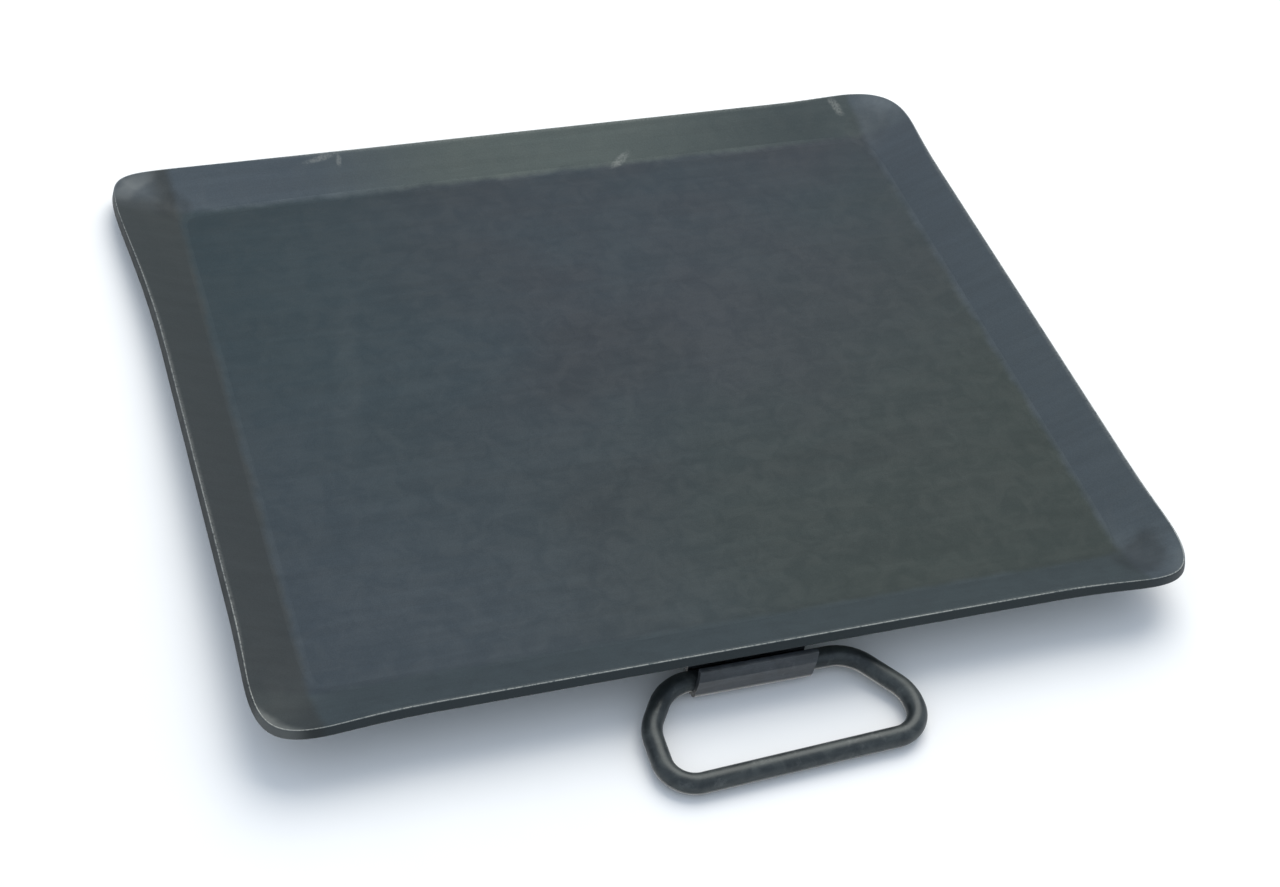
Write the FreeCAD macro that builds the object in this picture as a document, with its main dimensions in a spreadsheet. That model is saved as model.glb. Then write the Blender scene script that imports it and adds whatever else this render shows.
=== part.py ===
import FreeCAD, Part
import math
import os

import Sketcher
from FreeCAD import Placement, Rotation, Vector

# Rectangular steel griddle plate with a hinged rod handle under one long rim.
#
# Frame: origin at the centre of the plate's flat bottom, +Z up, +X along the long side and -Y
# towards the handle. Sizes are in millimetres and degrees.

# ---------------------------------------------------------------- driving dimensions

SIZES = {
    # plate, one pressed sheet: rim sizes are over the top edge, the flange is the sloping rim
    "rim_length": 406.4,
    "rim_width": 355.6,
    "plate_thickness": 4.55,
    "flange_run": 23.3,
    "flange_rise": 10.7,
    "bend_radius": 12.0,
    "edge_round": 0.7,
    # plate corners, measured back along each side from where the straight rims would meet
    "corner_length": 70.0,
    "corner_straight": 45.0,
    "corner_shoulder": 22.0,
    "shoulder_drop": 1.0,
    "corner_drop": 3.0,
    "bend_shoulder": 9.0,
    "bend_cut": 3.0,
    # handle: round bar bent by hand to a loop that turns in the clip, its right side the wider
    "rod_diameter": 8.8,
    "rod_gap": 1.5,
    "hinge_back": 173.0,
    "hinge_drop": 6.5,
    "handle_droop": 5.2,
    "hinge_bend": 19.0,
    "shoulder_bend": 18.5,
    "outer_bend": 13.0,
    "hinge_right": 36.0,
    "side_right": 63.8,
    "reach_right": 44.5,
    "angle_right": 52.5,
    "hinge_left": 25.6,
    "side_left": 48.8,
    "reach_left": 48.4,
    "angle_left": 56.0,
    # clip: a strap folded to a U round the hinge side of the handle
    "clip_width": 52.0,
    "clip_shift": 1.0,
    "clip_thickness": 2.25,
    "hinge_clearance": 0.08,
    "lip_height": 14.2,
    "crease_height": 7.8,
    "front_lean": 9.5,
    # weld beads between the clip's back leg and the flange; the bulge is a share of both legs
    "bead_leg": 3.0,
    "bead_bulge": 0.62,
    "bead_length": 13.0,
    "bead_spacing": 18.0,
}

# How far each rim corner stands out from the straight rims: along the long side, along the short
# side, and at the corner itself, where a minus sign cuts the corner back. A length over 1 lets
# the corner fade out further back along both sides.
CORNERS = [
    {"x": 1, "y": 1, "long": 5.0, "short": 4.0, "middle": 0.5, "length": 1.0},
    {"x": 1, "y": -1, "long": 2.8, "short": 3.8, "middle": -0.8, "length": 1.0},
    {"x": -1, "y": -1, "long": 3.5, "short": 2.5, "middle": -1.8, "length": 1.0},
    {"x": -1, "y": 1, "long": 1.8, "short": 8.2, "middle": 4.3, "length": 1.9},
]

FLANGE_ANGLE = math.atan2(SIZES["flange_rise"], SIZES["flange_run"])
BEAD_COUNT = 3


def make_sheet(doc):
    """The spreadsheet with every driving dimension, one aliased cell each."""
    sheet = doc.addObject("Spreadsheet::Sheet", "Sizes")
    for row, (name, value) in enumerate(SIZES.items(), start=1):
        sheet.set(f"A{row}", name)
        sheet.set(f"B{row}", str(value))
        sheet.setAlias(f"B{row}", name)
    doc.recompute()
    return sheet


# ---------------------------------------------------------------- griddle plate


def section_poles(bend, rim, sheet):
    """Control points of the plate's edge where it crosses one upright plane.

    bend is where the top face starts to rise and rim is the top arris. The list runs from the
    top panel up the flange, round the edge and back under to the bottom panel.
    """
    thickness = sheet.plate_thickness
    level = Vector(0, 0, 1)
    flange = rim - bend
    outward = Vector(flange.x, flange.y, 0).normalize()
    angle = math.atan2(flange.z, math.hypot(flange.x, flange.y))
    along = outward * math.cos(angle) + level * math.sin(angle)
    across = level * math.cos(angle) - outward * math.sin(angle)

    half_turn = math.tan(angle / 2)
    top_reach = sheet.bend_radius * half_turn
    bottom_reach = (sheet.bend_radius + thickness) * half_turn
    under_bend = bend + outward * (thickness * half_turn) - level * thickness
    under_rim = rim - across * thickness
    edge_round = sheet.edge_round
    return [
        bend - outward * top_reach,
        bend,
        bend + along * top_reach,
        rim - along * edge_round,
        rim,
        rim - across * edge_round,
        under_rim + across * edge_round,
        under_rim,
        under_rim - along * edge_round,
        under_bend + along * bottom_reach,
        under_bend,
        under_bend - outward * bottom_reach,
    ]


# Strips between those control points: first one used, and the degree across the strip. Bends and
# rounded edges are of degree 2, and the flat flange and edge are of degree 1.
STRIPS = [(0, 2), (2, 1), (3, 2), (5, 1), (6, 2), (8, 1), (9, 2)]


def corner_sections(corner, sheet):
    """Seven sections round one corner, from its long side to its short side."""
    half_length = sheet.rim_length / 2
    half_width = sheet.rim_width / 2
    run = sheet.flange_run
    top = sheet.plate_thickness
    rim_top = top + sheet.flange_rise

    # Each entry is (x, y) back from the straight rims' corner, for the bend and for the rim, and
    # how far the rim sinks there.
    straight = [back * corner["length"] for back in (sheet.corner_length, sheet.corner_straight)]
    shoulder = sheet.corner_shoulder
    bend_near = run + sheet.bend_shoulder
    bend_middle = run + sheet.bend_cut
    middle = -corner["middle"]
    entries = [((back, run), (back, 0), 0) for back in straight]
    entries.append(((bend_near, run), (shoulder, -corner["long"]), sheet.shoulder_drop))
    entries.append(((bend_middle, bend_middle), (middle, middle), sheet.corner_drop))
    entries.append(((run, bend_near), (-corner["short"], shoulder), sheet.shoulder_drop))
    entries += [((run, back), (0, back), 0) for back in reversed(straight)]

    def place(back, height):
        x = corner["x"] * (half_length - back[0])
        y = corner["y"] * (half_width - back[1])
        return Vector(x, y, height)

    return [
        section_poles(place(bend, top), place(rim, rim_top - drop), sheet)
        for bend, rim, drop in entries
    ]


def knots(pole_count, degree):
    """Multiplicities and values of evenly spaced knots for a clamped spline."""
    spans = pole_count - degree
    mults = [degree + 1] + [1] * (spans - 1) + [degree + 1]
    return mults, list(range(spans + 1))


def strip_face(sections, first, across_degree):
    """One face of the plate's edge, through the same control points of all the sections."""
    poles = [section[first : first + across_degree + 1] for section in sections]
    along_degree = min(3, len(sections) - 1)
    along_mults, along_knots = knots(len(sections), along_degree)
    across_mults, across_knots = knots(across_degree + 1, across_degree)
    surface = Part.BSplineSurface()
    surface.buildFromPolesMultsKnots(
        poles, along_mults, across_mults, along_knots, across_knots,
        False, False, along_degree, across_degree,
    )
    return surface.toShape()


def panel_face(stretches, pole):
    """The flat panel inside the bends, bounded by one row of control points."""
    edges = []
    for sections in stretches:
        degree = min(3, len(sections) - 1)
        mults, values = knots(len(sections), degree)
        curve = Part.BSplineCurve()
        curve.buildFromPolesMultsKnots([s[pole] for s in sections], mults, values, False, degree)
        edges.append(curve.toShape())
    return Part.Face(Part.Wire(edges))


def make_plate(doc, sheet):
    """The pressed plate: flat panel, sloping flange and drawn corners in one sheet."""
    corners = []
    for corner in CORNERS:
        sections = corner_sections(corner, sheet)
        # Going clockwise seen from above, every second corner is entered from its short side.
        enters_on_long_side = corner["x"] * corner["y"] > 0
        corners.append(sections if enters_on_long_side else sections[::-1])
    stretches = []
    for here, following in zip(corners, corners[1:] + corners[:1]):
        stretches.append(here)
        stretches.append([here[-1], following[0]])

    faces = [panel_face(stretches, 0), panel_face(stretches, -1)]
    for first, degree in STRIPS:
        faces += [strip_face(sections, first, degree) for sections in stretches]
    skin = Part.makeCompound(faces)
    skin.sewShape()
    plate = Part.Solid(skin.Shells[0])
    if plate.Volume < 0:
        plate.reverse()

    feature = doc.addObject("Part::Feature", "GriddlePlate")
    feature.Label = "griddle_plate"
    feature.Shape = plate
    return feature


# ---------------------------------------------------------------- sketches


def origin_plane(body, role):
    """One of the body's own origin planes."""
    return next(f for f in body.Origin.OriginFeatures if f.Role == role)


def add_sketch(body, name, role):
    """A sketch on one of the body's origin planes."""
    sketch = body.newObject("Sketcher::SketchObject", name)
    sketch.AttachmentSupport = (origin_plane(body, role), "")
    sketch.MapMode = "FlatFace"
    return sketch


def line(start, end):
    return Part.LineSegment(Vector(*start), Vector(*end))


def arc(centre, radius, start_angle, end_angle):
    circle = Part.Circle(Vector(*centre), Vector(0, 0, 1), radius)
    return Part.ArcOfCircle(circle, math.radians(start_angle), math.radians(end_angle))


def size(sketch, kind, *where, value, expression):
    """Adds a dimension to a sketch and binds it to the sheet."""
    index = sketch.addConstraint(Sketcher.Constraint(kind, *where, value))
    sketch.setExpression(f"Constraints[{index}]", expression)


START, END, CENTRE = 1, 2, 3
ORIGIN = (-1, 1)
X_AXIS = -1


# ---------------------------------------------------------------- handle


def loop_half(sheet, side_name):
    """Half of the loop's middle line, hinge to outer bar: its curves, joins and dimensions.

    The straight hinge end, the bend out of the clip, the arm, the shoulder, the side and the
    outer bend are curves 0 to 5. The left half mirrors the right one with sizes of its own.
    """
    right = side_name == "right"
    sign = 1 if right else -1
    first = 0 if right else 6
    hinge = getattr(sheet, f"hinge_{side_name}")
    side = getattr(sheet, f"side_{side_name}")
    reach = getattr(sheet, f"reach_{side_name}")
    angle = getattr(sheet, f"angle_{side_name}")
    small, wide, outer = sheet.hinge_bend, sheet.shoulder_bend, sheet.outer_bend
    sine, cosine = math.sin(math.radians(angle)), math.cos(math.radians(angle))

    arm_start = (hinge + small * sine, -small * (1 - cosine))
    arm_end_x = side - wide * (1 - sine)
    arm_end = (arm_end_x, arm_start[1] - (arm_end_x - arm_start[0]) * sine / cosine)
    side_start = (side, arm_end[1] - wide * cosine)
    side_end = (side, outer - reach)

    def straight(start, end):
        return line((sign * start[0], start[1], 0), (sign * end[0], end[1], 0))

    def bend(centre, radius, low, high):
        angles = (low, high) if right else (180 - high, 180 - low)
        return arc((sign * centre[0], centre[1], 0), radius, *angles)

    curves = [
        straight((sheet.rod_gap / 2, 0), (hinge, 0)),
        bend((hinge, -small), small, 90 - angle, 90),
        straight(arm_start, arm_end),
        bend((side - wide, side_start[1]), wide, 0, 90 - angle),
        straight(side_start, side_end),
        bend((side - outer, side_end[1]), outer, -90, 0),
    ]
    near, far = (END, START) if right else (START, END)
    joins = [
        (first, END, first + 1, near),
        (first + 1, far, first + 2, START),
        (first + 2, END, first + 3, near),
        (first + 3, far, first + 4, START),
        (first + 4, END, first + 5, near),
    ]

    def across(curve, point):
        """From the middle line out to a point, in the sketch's +X direction."""
        return (*ORIGIN, curve, point) if right else (curve, point, *ORIGIN)

    turn = math.radians(angle)
    bound = [
        ("DistanceX", across(first, START), sheet.rod_gap / 2, "Sizes.rod_gap / 2"),
        ("DistanceX", across(first, END), hinge, f"Sizes.hinge_{side_name}"),
        ("DistanceX", across(first + 4, START), side, f"Sizes.side_{side_name}"),
        ("Radius", (first + 1,), small, "Sizes.hinge_bend"),
        ("Radius", (first + 3,), wide, "Sizes.shoulder_bend"),
        ("Radius", (first + 5,), outer, "Sizes.outer_bend"),
        ("Angle", (first + 1,), turn, f"Sizes.angle_{side_name} * 1 deg"),
        ("DistanceY", (first + 5, far, *ORIGIN), reach, f"Sizes.reach_{side_name}"),
    ]
    bar_end = (sign * (side - outer), -reach, 0)
    return curves, joins, bound, (first + 5, far), bar_end


def make_handle(doc, sheet):
    """The rod: a round section swept along the loop, its two ends meeting inside the clip."""
    body = doc.addObject("PartDesign::Body", "HandleRod")
    body.Label = "handle_rod"
    right = loop_half(sheet, "right")
    left = loop_half(sheet, "left")
    bar = len(right[0]) + len(left[0])

    path = add_sketch(body, "RodPath", "XY_Plane")
    path.addGeometry(right[0] + left[0] + [line(right[4], left[4])])
    for join in right[1] + left[1] + [(*right[3], bar, START), (*left[3], bar, END)]:
        path.addConstraint(Sketcher.Constraint("Tangent", *join))
    for first in (0, len(right[0])):
        path.addConstraint(Sketcher.Constraint("Horizontal", first))
        path.addConstraint(Sketcher.Constraint("PointOnObject", first, START, X_AXIS))
        path.addConstraint(Sketcher.Constraint("Vertical", first + 4))
    for kind, where, value, expression in right[2] + left[2]:
        size(path, kind, *where, value=value, expression=expression)

    section = add_sketch(body, "RodSection", "YZ_Plane")
    section.AttachmentOffset = Placement(Vector(0, 0, sheet.rod_gap / 2), Rotation())
    radius = sheet.rod_diameter / 2
    section.addGeometry(Part.Circle(Vector(0, 0, 0), Vector(0, 0, 1), radius))
    section.addConstraint(Sketcher.Constraint("Coincident", 0, CENTRE, *ORIGIN))
    size(section, "Radius", 0, value=radius, expression="Sizes.rod_diameter / 2")
    doc.recompute()

    sweep = body.newObject("PartDesign::AdditivePipe", "RodSweep")
    sweep.Profile = section
    sweep.Spine = path
    body.Placement = Placement(
        Vector(0, -sheet.hinge_back, -sheet.hinge_drop),
        Rotation(Vector(1, 0, 0), sheet.handle_droop),
    )
    return body


# ---------------------------------------------------------------- clip


def flange_underside(y, sheet):
    """Height of the flange's flat underside on the handle side, at a distance back from the middle."""
    rim_y = sheet.rim_width / 2 + sheet.plate_thickness * math.sin(FLANGE_ANGLE)
    rim_z = (
        sheet.plate_thickness + sheet.flange_rise - sheet.plate_thickness * math.cos(FLANGE_ANGLE)
    )
    return rim_z - (rim_y - y) * math.tan(FLANGE_ANGLE)


def make_clip(doc, sheet):
    """The strap: a U round the rod, open below the rim in front and welded to the flange behind."""
    body = doc.addObject("PartDesign::Body", "HandleClip")
    body.Label = "handle_clip"
    inner = sheet.rod_diameter / 2 + sheet.hinge_clearance
    outer = inner + sheet.clip_thickness
    lean = math.radians(sheet.front_lean)
    back_top = {
        radius: flange_underside(sheet.hinge_back - radius, sheet) + sheet.hinge_drop
        for radius in (inner, outer)
    }

    def tangent_point(radius):
        """Where the leaning front leg leaves the round bottom."""
        return (-radius * math.cos(lean), -radius * math.sin(lean), 0)

    def crease(radius):
        """Where the front leg turns upright."""
        start = tangent_point(radius)
        rise = sheet.crease_height - start[1]
        return (start[0] - rise * math.tan(lean), sheet.crease_height, 0)

    def lip(radius):
        return (crease(radius)[0], sheet.lip_height, 0)

    profile = add_sketch(body, "ClipProfile", "YZ_Plane")
    profile.addGeometry([
        line(lip(outer), crease(outer)),
        line(crease(outer), tangent_point(outer)),
        arc((0, 0, 0), outer, 180 + sheet.front_lean, 360),
        line((outer, 0, 0), (outer, back_top[outer], 0)),
        line((outer, back_top[outer], 0), (inner, back_top[inner], 0)),
        line((inner, back_top[inner], 0), (inner, 0, 0)),
        arc((0, 0, 0), inner, 180 + sheet.front_lean, 360),
        line(tangent_point(inner), crease(inner)),
        line(crease(inner), lip(inner)),
        line(lip(inner), lip(outer)),
    ])
    for first, second in ((0, 1), (3, 4), (4, 5), (7, 8), (8, 9), (9, 0)):
        profile.addConstraint(Sketcher.Constraint("Coincident", first, END, second, START))
    for join in ((1, END, 2, START), (2, END, 3, START), (5, END, 6, END), (6, START, 7, START)):
        profile.addConstraint(Sketcher.Constraint("Tangent", *join))
    for curve in (2, 6):
        profile.addConstraint(Sketcher.Constraint("Coincident", curve, CENTRE, *ORIGIN))
    for upright in (0, 3, 5, 8):
        profile.addConstraint(Sketcher.Constraint("Vertical", upright))
    profile.addConstraint(Sketcher.Constraint("Horizontal", 9))
    inner_text = "Sizes.rod_diameter / 2 + Sizes.hinge_clearance"
    run = "Sizes.flange_rise / Sizes.flange_run"
    bound = [
        ("Radius", (6,), inner, inner_text),
        ("Radius", (2,), outer, f"{inner_text} + Sizes.clip_thickness"),
        ("Angle", (2,), math.pi - lean, "(180 - Sizes.front_lean) * 1 deg"),
        ("Angle", (6,), math.pi - lean, "(180 - Sizes.front_lean) * 1 deg"),
        ("DistanceY", (*ORIGIN, 0, START), sheet.lip_height, "Sizes.lip_height"),
        ("DistanceY", (*ORIGIN, 0, END), sheet.crease_height, "Sizes.crease_height"),
        ("DistanceY", (*ORIGIN, 8, START), sheet.crease_height, "Sizes.crease_height"),
        ("DistanceY", (4, START, 4, END), back_top[inner] - back_top[outer],
         f"Sizes.clip_thickness * {run}"),
    ]
    for kind, where, value, expression in bound:
        size(profile, kind, *where, value=value, expression=expression)
    profile.addConstraint(
        Sketcher.Constraint("DistanceY", *ORIGIN, 3, END, back_top[outer])
    )
    doc.recompute()

    pad = body.newObject("PartDesign::Pad", "ClipPad")
    pad.Profile = profile
    pad.SideType = "Symmetric"
    pad.setExpression("Length", "Sizes.clip_width")
    body.Placement = Placement(
        Vector(sheet.clip_shift, -sheet.hinge_back, -sheet.hinge_drop), Rotation()
    )
    return body


def make_welds(doc, sheet):
    """The beads in the corner between the clip's back leg and the flange, a group in one node."""
    leg_y = (
        -sheet.hinge_back + sheet.rod_diameter / 2 + sheet.hinge_clearance + sheet.clip_thickness
    )
    corner = Vector(0, leg_y, flange_underside(-leg_y, sheet))
    down = Vector(0, 0, -sheet.bead_leg)
    back = Vector(0, math.cos(FLANGE_ANGLE), -math.sin(FLANGE_ANGLE)) * sheet.bead_leg
    bulge = (down + back) * sheet.bead_bulge
    edges = [
        Part.LineSegment(corner, corner + down).toShape(),
        Part.Arc(corner + down, corner + bulge, corner + back).toShape(),
        Part.LineSegment(corner + back, corner).toShape(),
    ]
    outline = doc.addObject("Part::Feature", "BeadOutline")
    outline.Shape = Part.Face(Part.Wire(edges))

    beads = []
    for index in range(BEAD_COUNT):
        bead = doc.addObject("Part::Extrusion", f"Bead{index + 1}")
        bead.Base = outline
        bead.DirMode = "Custom"
        bead.Dir = Vector(1, 0, 0)
        bead.Symmetric = True
        bead.setExpression("LengthFwd", "Sizes.bead_length")
        steps = index - (BEAD_COUNT - 1) / 2
        bead.setExpression(
            "Placement.Base.x", f"Sizes.clip_shift + Sizes.bead_spacing * {steps}"
        )
        beads.append(bead)
    group = doc.addObject("Part::Compound", "ClipWelds")
    group.Label = "clip_welds"
    group.Links = beads
    return group


# ---------------------------------------------------------------- document


def check(doc, parts):
    """Stops with a message if anything failed to build."""
    for thing in doc.Objects:
        if "Invalid" in thing.State or "Error" in thing.State:
            raise RuntimeError(f"{thing.Label} did not build: {thing.State}")
    for part in parts:
        if part.Shape.isNull() or not part.Shape.isValid() or part.Shape.Volume <= 0:
            raise RuntimeError(f"{part.Label} has no valid shape")
        print(f"{part.Label}: {len(part.Shape.Solids)} solid(s), {part.Shape.Volume:.0f} mm3")


def main():
    doc = FreeCAD.newDocument("GriddlePlate")
    sheet = make_sheet(doc)
    parts = [
        make_plate(doc, sheet),
        make_clip(doc, sheet),
        make_welds(doc, sheet),
        make_handle(doc, sheet),
    ]
    doc.recompute()
    check(doc, parts)
    os.makedirs("parts", exist_ok=True)
    for part in parts:
        part.Shape.exportStep(f"parts/{part.Label}.step")


main()
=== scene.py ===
"""The looks of a pressed steel griddle plate with a swinging rod handle.

The CAD model gives every shape. This script gives each piece its steel, and adds the floor, the
light and the camera. Lengths are metres in the CAD model's frame: the origin is the centre of the
flat bottom, +X is to the right, +Y away from the handle and +Z up.
"""

import math

import bpy
from mathutils import Euler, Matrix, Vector


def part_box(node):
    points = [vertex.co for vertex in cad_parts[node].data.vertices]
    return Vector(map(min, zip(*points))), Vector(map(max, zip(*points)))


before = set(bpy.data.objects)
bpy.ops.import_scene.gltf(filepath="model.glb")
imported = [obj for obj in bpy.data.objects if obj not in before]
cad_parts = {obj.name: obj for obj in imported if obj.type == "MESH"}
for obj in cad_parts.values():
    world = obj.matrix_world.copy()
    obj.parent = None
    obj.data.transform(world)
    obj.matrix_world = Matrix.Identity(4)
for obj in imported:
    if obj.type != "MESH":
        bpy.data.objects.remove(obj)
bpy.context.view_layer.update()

# Half the flat pan, from its middle to the bend lines, in X and Y.
PAN_HALF = (0.1799, 0.1545)

# Each pair below is where something starts and where it is complete.
RIM_HEIGHT = (0.009, 0.011)
CORNER_TOP_HEIGHT = (0.0142, 0.0150)
# How far the surface faces outwards, from the flange's slope to the sheet's cut edge.
ARRIS_FACING = (-0.28, -0.05)
EDGE_FACING = (0.6, 0.85)
# Distances out past the bend lines, in the corners.
CORNER_REACH = (0.004, 0.014)
LIP_INNER = (0.0215, 0.0255)
LIP_OUTER = (0.028, 0.032)

# The clip and the rod are lowest about this far behind their front.
LOWEST_POINT_BACK = 0.004
FLOOR_GAP = 0.0003
FLOOR_REACH = 6.0

# Colours, linear RGB: oxide tones, and tones that paint light, shade and highlights into the steel.
BLUE_GREY = (0.0185, 0.0285, 0.037, 1)
MAUVE_GREY = (0.0205, 0.0265, 0.034, 1)
TEAL_GREY = (0.0165, 0.030, 0.036, 1)
OLIVE_GREY = (0.019, 0.027, 0.026, 1)
BROWN_GREY = (0.0265, 0.030, 0.0295, 1)
LIGHT_GREY = (0.027, 0.037, 0.048, 1)
PALE_BLUE = (0.050, 0.064, 0.078, 1)
PALE_GREY = (0.040, 0.054, 0.060, 1)
PALE_OLIVE = (0.035, 0.047, 0.049, 1)
WARM_GREEN = (0.065, 0.080, 0.076, 1)
BARE_STEEL_AND_HIGHLIGHT = (0.26, 0.27, 0.26, 1)
DARK_SCALE_AND_SHADE = (0.009, 0.012, 0.014, 1)
WELD_STRAW = (0.16, 0.13, 0.09, 1)
WELD_BLUE = (0.05, 0.06, 0.10, 1)


class Nodes:
    """Short calls that add linked nodes to one material."""

    def __init__(self, material):
        material.use_nodes = True
        self.tree = material.node_tree
        self.tree.nodes.clear()
        self.place = self.add("TexCoord").outputs["Object"]

    def add(self, kind, inputs=None, **settings):
        """A new node with its settings, and its inputs set to numbers or linked to sockets."""
        node = self.tree.nodes.new("ShaderNode" + kind)
        for name, value in settings.items():
            setattr(node, name, value)
        for key, value in (inputs or {}).items():
            if isinstance(value, bpy.types.NodeSocket):
                self.tree.links.new(value, node.inputs[key])
            else:
                node.inputs[key].default_value = value
        return node

    def stretch(self, scale):
        """The place on the object, scaled by a different amount along each axis."""
        node = self.add("VectorMath", {0: self.place, 1: scale}, operation="MULTIPLY")
        return node.outputs[0]

    def noise(self, scale, detail=3.0, roughness=0.5, distortion=0.0, place=None):
        """Cloudy noise from 0 to 1; scale is in clouds a metre."""
        inputs = {"Vector": place or self.place, "Scale": scale, "Detail": detail}
        inputs.update({"Roughness": roughness, "Distortion": distortion})
        return self.add("TexNoise", inputs).outputs["Fac"]

    def math(self, operation, first, second=0.0):
        """One operation on two values."""
        return self.add("Math", {0: first, 1: second}, operation=operation).outputs[0]

    def times(self, first, second):
        """The product of two values."""
        return self.math("MULTIPLY", first, second)

    def plus(self, first, second):
        """The sum of two values."""
        return self.math("ADD", first, second)

    def minus(self, first, second):
        """The first value less the second."""
        return self.math("SUBTRACT", first, second)

    def ease(self, value, low, high, start=0.0, end=1.0):
        """start where value is under low, end where it is over high, and smooth between."""
        inputs = {"Value": value, "From Min": low, "From Max": high}
        inputs.update({"To Min": start, "To Max": end})
        node = self.add("MapRange", inputs, interpolation_type="SMOOTHSTEP")
        return node.outputs[0]

    def mix(self, factor, first, second):
        """The first colour where factor is 0, the second where it is 1."""
        node = self.add("Mix", {0: factor, 6: first, 7: second}, data_type="RGBA")
        return node.outputs[2]

    def axes(self, vector):
        """The X, Y and Z of a vector."""
        return self.add("SeparateXYZ", {0: vector}).outputs[:]

    def spot(self, x, y, long_radius, short_radius, angle, rag=0.35):
        """1 inside a ragged oval patch centred at x, y and turned by angle, falling softly to 0."""
        rotation = (0, 0, math.radians(-angle))
        shifted = self.add("VectorMath", {0: self.place, 1: (x, y, 0)}, operation="SUBTRACT")
        turned = self.add(
            "VectorRotate",
            {"Vector": shifted.outputs[0], "Rotation": rotation},
            rotation_type="EULER_XYZ",
        )
        scaled = self.add(
            "VectorMath",
            {0: turned.outputs[0], 1: (1 / long_radius, 1 / short_radius, 0)},
            operation="MULTIPLY",
        )
        length = self.add("VectorMath", {0: scaled.outputs[0]}, operation="LENGTH").outputs["Value"]
        ragged = self.plus(length, self.noise(0.9 / short_radius, 3, 0.6))
        return self.ease(ragged, 1.0, 1.0 + 2 * rag, 1.0, 0.0)

    def finish(self, colour, roughness, metallic, specular, height, bump_depth):
        """The steel itself: a colour, a roughness and a bumped surface."""
        bump = self.add("Bump", {"Strength": 1.0, "Distance": bump_depth, "Height": height})
        steel = self.add(
            "BsdfPrincipled",
            {
                "Base Color": colour,
                "Roughness": roughness,
                "Metallic": metallic,
                "Specular IOR Level": specular,
                "Normal": bump.outputs[0],
            },
        )
        self.add("OutputMaterial", {"Surface": steel.outputs[0]})


def wear_and_highlight(nodes, colour, amount, wear):
    """Bare steel shows through the oxide where amount is near 1, broken up by noise; on the rim the
    same bright steel is also a painted highlight.
    """
    broken = nodes.ease(nodes.noise(900, 2, 0.7), 0.25, 0.6)
    factor = nodes.times(amount, nodes.times(broken, wear))
    return nodes.mix(factor, colour, BARE_STEEL_AND_HIGHLIGHT)


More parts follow.
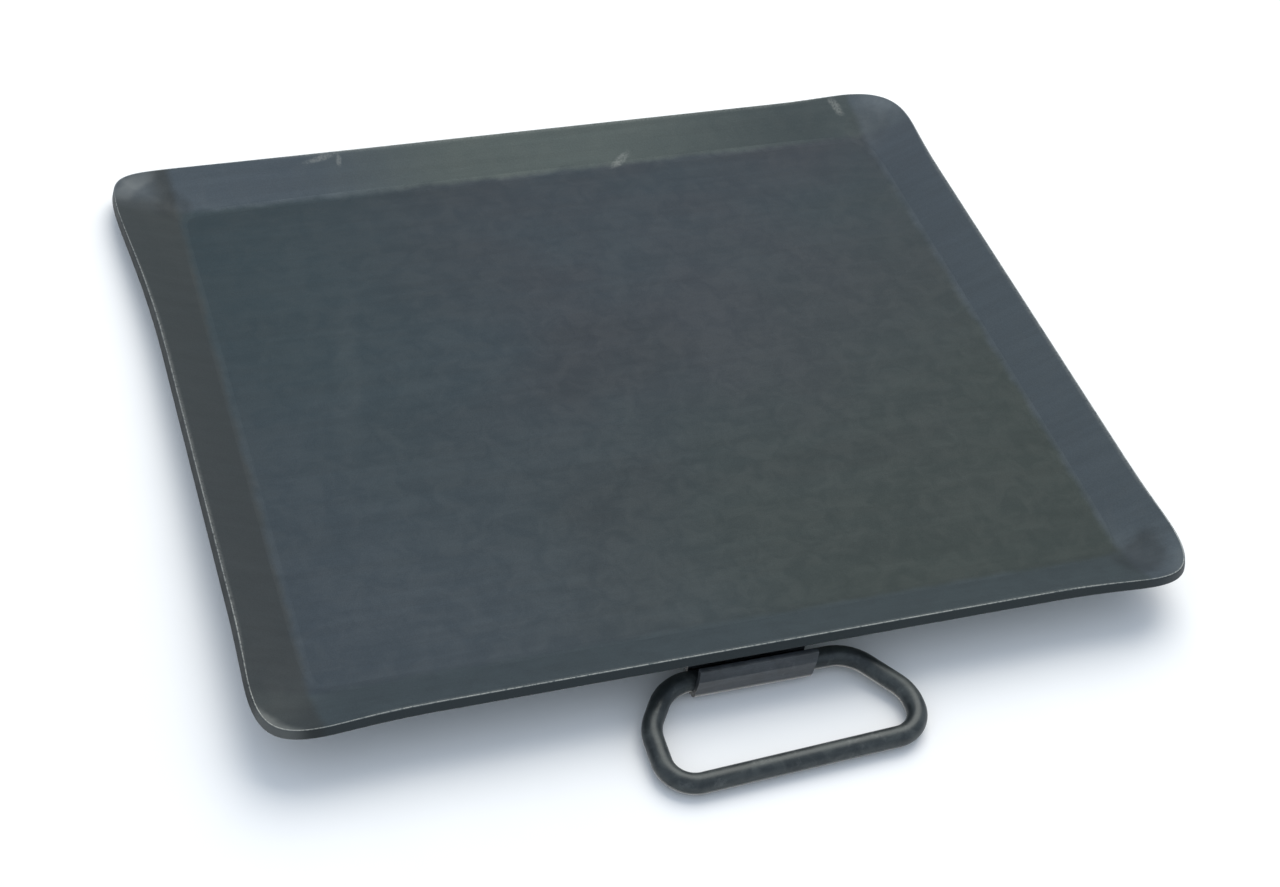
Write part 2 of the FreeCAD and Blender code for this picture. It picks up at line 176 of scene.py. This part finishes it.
def plate_steel():
    """Hot-rolled sheet: cloudy blue-grey scale, faint streaks along X, a rim rubbed bright with a
    painted highlight, painted light on the flanges and painted shade in corners.
    """
    material = bpy.data.materials.new("plate_oxide_steel")
    nodes = Nodes(material)
    x, y, z = nodes.axes(nodes.place)
    half_x, half_y = PAN_HALF

    # Large hazy changes of hue over the pan.
    haze = nodes.noise(7, 3, 0.55, 0.4)
    colour = nodes.mix(nodes.ease(haze, 0.38, 0.62), MAUVE_GREY, BLUE_GREY)
    to_left = nodes.plus(x, nodes.times(haze, 0.12))
    to_left = nodes.ease(to_left, -0.10, 0.06, 1, 0)
    colour = nodes.mix(nodes.times(to_left, 0.7), colour, TEAL_GREY)
    to_front = nodes.minus(nodes.times(x, 0.8), y)
    to_front = nodes.plus(to_front, nodes.times(haze, 0.2))
    to_front = nodes.ease(to_front, 0.02, 0.34)
    colour = nodes.mix(to_front, colour, OLIVE_GREY)
    to_corner = nodes.minus(nodes.times(haze, 0.15), nodes.plus(x, y))
    to_corner = nodes.ease(to_corner, 0.16, 0.36)
    colour = nodes.mix(nodes.times(to_corner, 0.8), colour, LIGHT_GREY)

    # Darker stains and one pale swept mark.
    for patch in (
        (-0.022, -0.075, 0.045, 0.020, 4),
        (-0.005, 0.018, 0.050, 0.034, 20),
        (0.075, -0.071, 0.060, 0.011, 6),
    ):
        colour = nodes.mix(nodes.times(nodes.spot(*patch), 0.16), colour, DARK_SCALE_AND_SHADE)
    swept = nodes.spot(-0.128, 0.015, 0.070, 0.007, 77)
    colour = nodes.mix(nodes.times(swept, 0.013), colour, BARE_STEEL_AND_HIGHLIGHT)

    # The four sloping flanges each have a tint of their own: oxide tone and painted light, lighter
    # or darker as each faces the light.
    ragged = nodes.times(nodes.minus(nodes.noise(60, 3, 0.6), 0.5), 0.006)
    rough_x = nodes.plus(x, ragged)
    rough_y = nodes.plus(y, ragged)
    back = nodes.ease(rough_y, half_y - 0.002, half_y + 0.003)
    front = nodes.ease(rough_y, -half_y - 0.003, -half_y + 0.002, 1, 0)
    left = nodes.ease(rough_x, -half_x - 0.003, -half_x + 0.002, 1, 0)
    right = nodes.ease(rough_x, half_x - 0.002, half_x + 0.003)
    back_flange_tone_and_light = nodes.mix(nodes.ease(rough_x, -0.13, -0.03), PALE_BLUE, WARM_GREEN)
    back_flange_tone_and_light = nodes.mix(nodes.ease(rough_x, 0.03, 0.16), back_flange_tone_and_light, PALE_OLIVE)
    colour = nodes.mix(nodes.times(back, 0.85), colour, back_flange_tone_and_light)
    colour = nodes.mix(nodes.times(front, 0.75), colour, PALE_GREY)
    colour = nodes.mix(nodes.times(left, 0.70), colour, BROWN_GREY)
    colour = nodes.mix(nodes.times(right, 0.70), colour, PALE_BLUE)

    # Rolling streaks along X, mottling and fine grain.
    streaks = nodes.noise(1, 4, 0.6, 0.0, nodes.stretch((9, 240, 60)))
    mottle = nodes.noise(95, 4, 0.62, 0.6)
    grain = nodes.noise(1500, 2, 0.6)
    shade = nodes.plus(nodes.ease(streaks, 0.25, 0.75, 0.94, 1.06), -1)
    shade = nodes.plus(shade, nodes.ease(mottle, 0.3, 0.7, 0.93, 1.07))
    shade = nodes.times(shade, nodes.ease(grain, 0.2, 0.8, 0.90, 1.10))
    toned = nodes.add("VectorMath", {0: colour, "Scale": shade}, operation="SCALE")
    colour = toned.outputs[0]

    # The rim's upper arris is rubbed bright and carries a painted highlight: there the surface
    # turns from the flange to the edge.
    outward_x = nodes.minus(right, left)
    outward_y = nodes.minus(back, front)
    normal_x, normal_y, _ = nodes.axes(nodes.add("TexCoord").outputs["Normal"])
    facing = nodes.plus(nodes.times(normal_x, outward_x), nodes.times(normal_y, outward_y))
    off_edge = nodes.ease(facing, *EDGE_FACING, 1, 0)
    arris_wear_and_highlight = nodes.times(nodes.ease(facing, *ARRIS_FACING), off_edge)
    arris_wear_and_highlight = nodes.times(arris_wear_and_highlight, nodes.ease(z, *RIM_HEIGHT))
    colour = wear_and_highlight(nodes, colour, arris_wear_and_highlight, 0.55)
    # The tops of the corners get the same wear and painted highlight, more faintly.
    brink_wear_and_highlight = nodes.times(nodes.ease(z, *CORNER_TOP_HEIGHT), off_edge)
    colour = wear_and_highlight(nodes, colour, brink_wear_and_highlight, 0.22)
    cut_edge = nodes.ease(facing, *EDGE_FACING)
    colour = nodes.mix(nodes.times(cut_edge, 0.6), colour, BROWN_GREY)

    # The drawn corners are rubbed too, in arcs just inside the rim, which also carry a painted
    # highlight, stronger to the left.
    beyond_x = nodes.math("MAXIMUM", nodes.minus(nodes.math("ABSOLUTE", x), half_x), 0)
    beyond_y = nodes.math("MAXIMUM", nodes.minus(nodes.math("ABSOLUTE", y), half_y), 0)
    inside = nodes.times(nodes.ease(beyond_x, *CORNER_REACH), nodes.ease(beyond_y, *CORNER_REACH))
    ring = nodes.plus(nodes.math("POWER", beyond_x, 2), nodes.math("POWER", beyond_y, 2))
    ring = nodes.math("POWER", ring, 0.5)
    ring = nodes.plus(ring, nodes.times(ragged, 1.2))
    band = nodes.times(nodes.ease(ring, *LIP_INNER), nodes.ease(ring, *LIP_OUTER, 1, 0))
    lip_wear_and_highlight = nodes.times(inside, band)
    lip_wear_and_highlight = nodes.times(lip_wear_and_highlight, nodes.ease(x, -0.1, 0.1, 0.28, 0.04))
    colour = nodes.mix(lip_wear_and_highlight, colour, BARE_STEEL_AND_HIGHLIGHT)
    # Painted light: the far corners are made paler where they face up into the overhead light.
    far_corners_painted_light = nodes.times(inside, nodes.ease(y, 0.10, 0.16))
    colour = nodes.mix(nodes.times(far_corners_painted_light, 0.5), colour, PALE_BLUE)
    # Painted shade darkens the concave bends of three corners.
    for corner_painted_shade in (
        (0.187, -0.161, 0.015, 0.012, 45, 0.50),
        (0.186, 0.161, 0.013, 0.012, 45, 0.25),
        (-0.182, 0.158, 0.010, 0.008, 45, 0.40),
    ):
        *patch, depth = corner_painted_shade
        colour = nodes.mix(nodes.times(nodes.spot(*patch), depth), colour, DARK_SCALE_AND_SHADE)

    # Knocks on the back flange.
    for knock in (
        (0.046, 0.157, 0.006, 0.0018, 35),
        (0.171, 0.174, 0.005, 0.0022, 110),
        (-0.106, 0.175, 0.007, 0.0013, 10),
        (-0.097, 0.173, 0.003, 0.0012, 80),
    ):
        colour = wear_and_highlight(nodes, colour, nodes.spot(*knock, 0.5), 0.28)

    roughness = nodes.ease(mottle, 0.3, 0.7, 0.50, 0.60)
    roughness = nodes.plus(roughness, nodes.times(arris_wear_and_highlight, -0.15))
    height = nodes.plus(nodes.times(grain, 0.5), nodes.times(mottle, 0.6))
    height = nodes.plus(height, nodes.times(streaks, 0.4))
    nodes.finish(colour, roughness, 0.55, 0.3, height, 0.00006)
    return material


def drawn_steel(
    name, dark, light, streak_scale, blotch_scale, wear, roughness_range, metallic, specular
):
    """Bar or strip with streaks along X, blotches of scale and rubbed places."""
    material = bpy.data.materials.new(name)
    nodes = Nodes(material)
    streaks = nodes.noise(1, 3, 0.6, 0.2, nodes.stretch(streak_scale))
    blotches = nodes.noise(blotch_scale, 4, 0.6, 0.8)
    grain = nodes.noise(2200, 2, 0.6)
    colour = nodes.mix(nodes.ease(blotches, 0.36, 0.64), dark, light)
    shade = nodes.ease(streaks, 0.25, 0.75, 0.88, 1.12)
    shade = nodes.times(shade, nodes.ease(grain, 0.2, 0.8, 0.9, 1.1))
    toned = nodes.add("VectorMath", {0: colour, "Scale": shade}, operation="SCALE")
    rubbed = nodes.ease(nodes.noise(blotch_scale * 1.7, 3, 0.65, 0.3), 0.56, 0.72)
    colour = wear_and_highlight(nodes, toned.outputs[0], rubbed, wear)
    roughness = nodes.ease(blotches, 0.3, 0.7, *roughness_range)
    height = nodes.plus(nodes.times(grain, 0.4), nodes.times(blotches, 0.8))
    nodes.finish(colour, roughness, metallic, specular, height, 0.00008)
    return material


def weld_steel():
    """Rippled bead with straw and blue heat colours."""
    material = bpy.data.materials.new("weld_bead_steel")
    nodes = Nodes(material)
    ripples = nodes.add(
        "TexWave",
        {"Vector": nodes.place, "Scale": 260.0, "Distortion": 1.5, "Detail": 2.0},
        bands_direction="X",
    ).outputs["Fac"]
    heat = nodes.noise(220, 3, 0.6, 0.6)
    grain = nodes.noise(2500, 2, 0.6)
    colour = nodes.mix(nodes.ease(heat, 0.38, 0.6), WELD_BLUE, WELD_STRAW)
    colour = nodes.mix(nodes.times(ripples, 0.35), colour, DARK_SCALE_AND_SHADE)
    roughness = nodes.ease(heat, 0.3, 0.7, 0.35, 0.55)
    height = nodes.plus(ripples, nodes.times(grain, 0.2))
    nodes.finish(colour, roughness, 0.8, 0.5, height, 0.00025)
    return material


def give(node, material):
    """One material all over a CAD node."""
    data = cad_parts[node].data
    data.materials.clear()
    data.materials.append(material)


give("griddle_plate", plate_steel())
give(
    "handle_clip",
    drawn_steel(
        "clip_oxide_steel",
        dark=(0.050, 0.057, 0.064, 1),
        light=(0.070, 0.079, 0.088, 1),
        streak_scale=(40, 500, 500),
        blotch_scale=110,
        wear=0.10,
        roughness_range=(0.48, 0.60),
        metallic=0.6,
        specular=0.3,
    ),
)
give(
    "handle_rod",
    drawn_steel(
        "rod_oxide_steel",
        dark=(0.026, 0.032, 0.034, 1),
        light=(0.050, 0.058, 0.058, 1),
        streak_scale=(60, 420, 420),
        blotch_scale=85,
        wear=0.14,
        roughness_range=(0.34, 0.50),
        metallic=0.40,
        specular=0.5,
    ),
)
give("clip_welds", weld_steel())


def make_floor():
    """A pale floor, clear from beneath, from the back of the flat bottom to what hangs lowest.

    The clip and the handle hang under the pan, so the plate leans a little on them: the floor
    leans instead, since the plate keeps its place.
    """
    back_y = PAN_HALF[1]
    slope = 0.0
    for node in ("handle_clip", "handle_rod"):
        low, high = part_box(node)
        slope = max(slope, -low.z / (back_y - low.y - LOWEST_POINT_BACK))
    mesh = bpy.data.meshes.new("floor")
    signs = ((-1, -1), (1, -1), (1, 1), (-1, 1))
    corners = [(x * FLOOR_REACH, y * FLOOR_REACH, 0) for x, y in signs]
    mesh.from_pydata(corners, [], [(0, 1, 2, 3)])
    floor = bpy.data.objects.new("floor", mesh)
    bpy.context.scene.collection.objects.link(floor)
    floor.location = (0, back_y, -FLOOR_GAP)
    floor.rotation_euler = (math.atan(slope), 0, 0)
    material = bpy.data.materials.new("pale_floor")
    nodes = Nodes(material)
    speckle = nodes.noise(40, 2, 0.5)
    colour = nodes.mix(speckle, (0.90, 0.895, 0.89, 1), (0.92, 0.915, 0.91, 1))
    paper = nodes.add("BsdfDiffuse", {"Color": colour})
    clear = nodes.add("BsdfTransparent")
    behind = nodes.add("NewGeometry").outputs["Backfacing"]
    shown = nodes.add("MixShader", {0: behind, 1: paper.outputs[0], 2: clear.outputs[0]})
    nodes.add("OutputMaterial", {"Surface": shown.outputs[0]})
    mesh.materials.append(material)
    floor.visible_shadow = False


def add_lamp(name, place, width, energy, colour):
    """A square soft lamp aimed at the origin."""
    data = bpy.data.lights.new(name, "AREA")
    data.shape = "SQUARE"
    data.size = width
    data.energy = energy
    data.color = colour
    lamp = bpy.data.objects.new(name, data)
    lamp.location = place
    lamp.rotation_euler = (-Vector(place)).to_track_quat("-Z", "Y").to_euler()
    bpy.context.scene.collection.objects.link(lamp)


def make_light():
    """Pale surroundings, a wide soft lamp overhead and one below for the underside."""
    world = bpy.data.worlds.new("pale_studio")
    bpy.context.scene.world = world
    world.use_nodes = True
    background = world.node_tree.nodes["Background"]
    background.inputs["Color"].default_value = (0.77, 0.87, 1.0, 1)
    background.inputs["Strength"].default_value = 0.82
    add_lamp("overhead_softbox", (0.8, 1.2, 2.2), 2.2, 60, (1.0, 0.96, 0.88))
    add_lamp("underside_fill", (0.2, 0.7, -2.5), 2.0, 70, (1.0, 0.97, 0.92))


def make_camera():
    """A camera high in front and a little to the left, rolled slightly."""
    data = bpy.data.cameras.new("camera")
    data.sensor_width = 36
    data.lens = 65.63
    camera = bpy.data.objects.new("camera", data)
    camera.location = (-0.3051, -0.7438, 0.7255)
    turn = [math.radians(angle) for angle in (46.259, -5.670, -17.664)]
    camera.rotation_euler = Euler(turn, "XYZ")
    bpy.context.scene.collection.objects.link(camera)
    bpy.context.scene.camera = camera


make_floor()
make_light()
make_camera()
bpy.context.scene.view_settings.view_transform = "Standard"
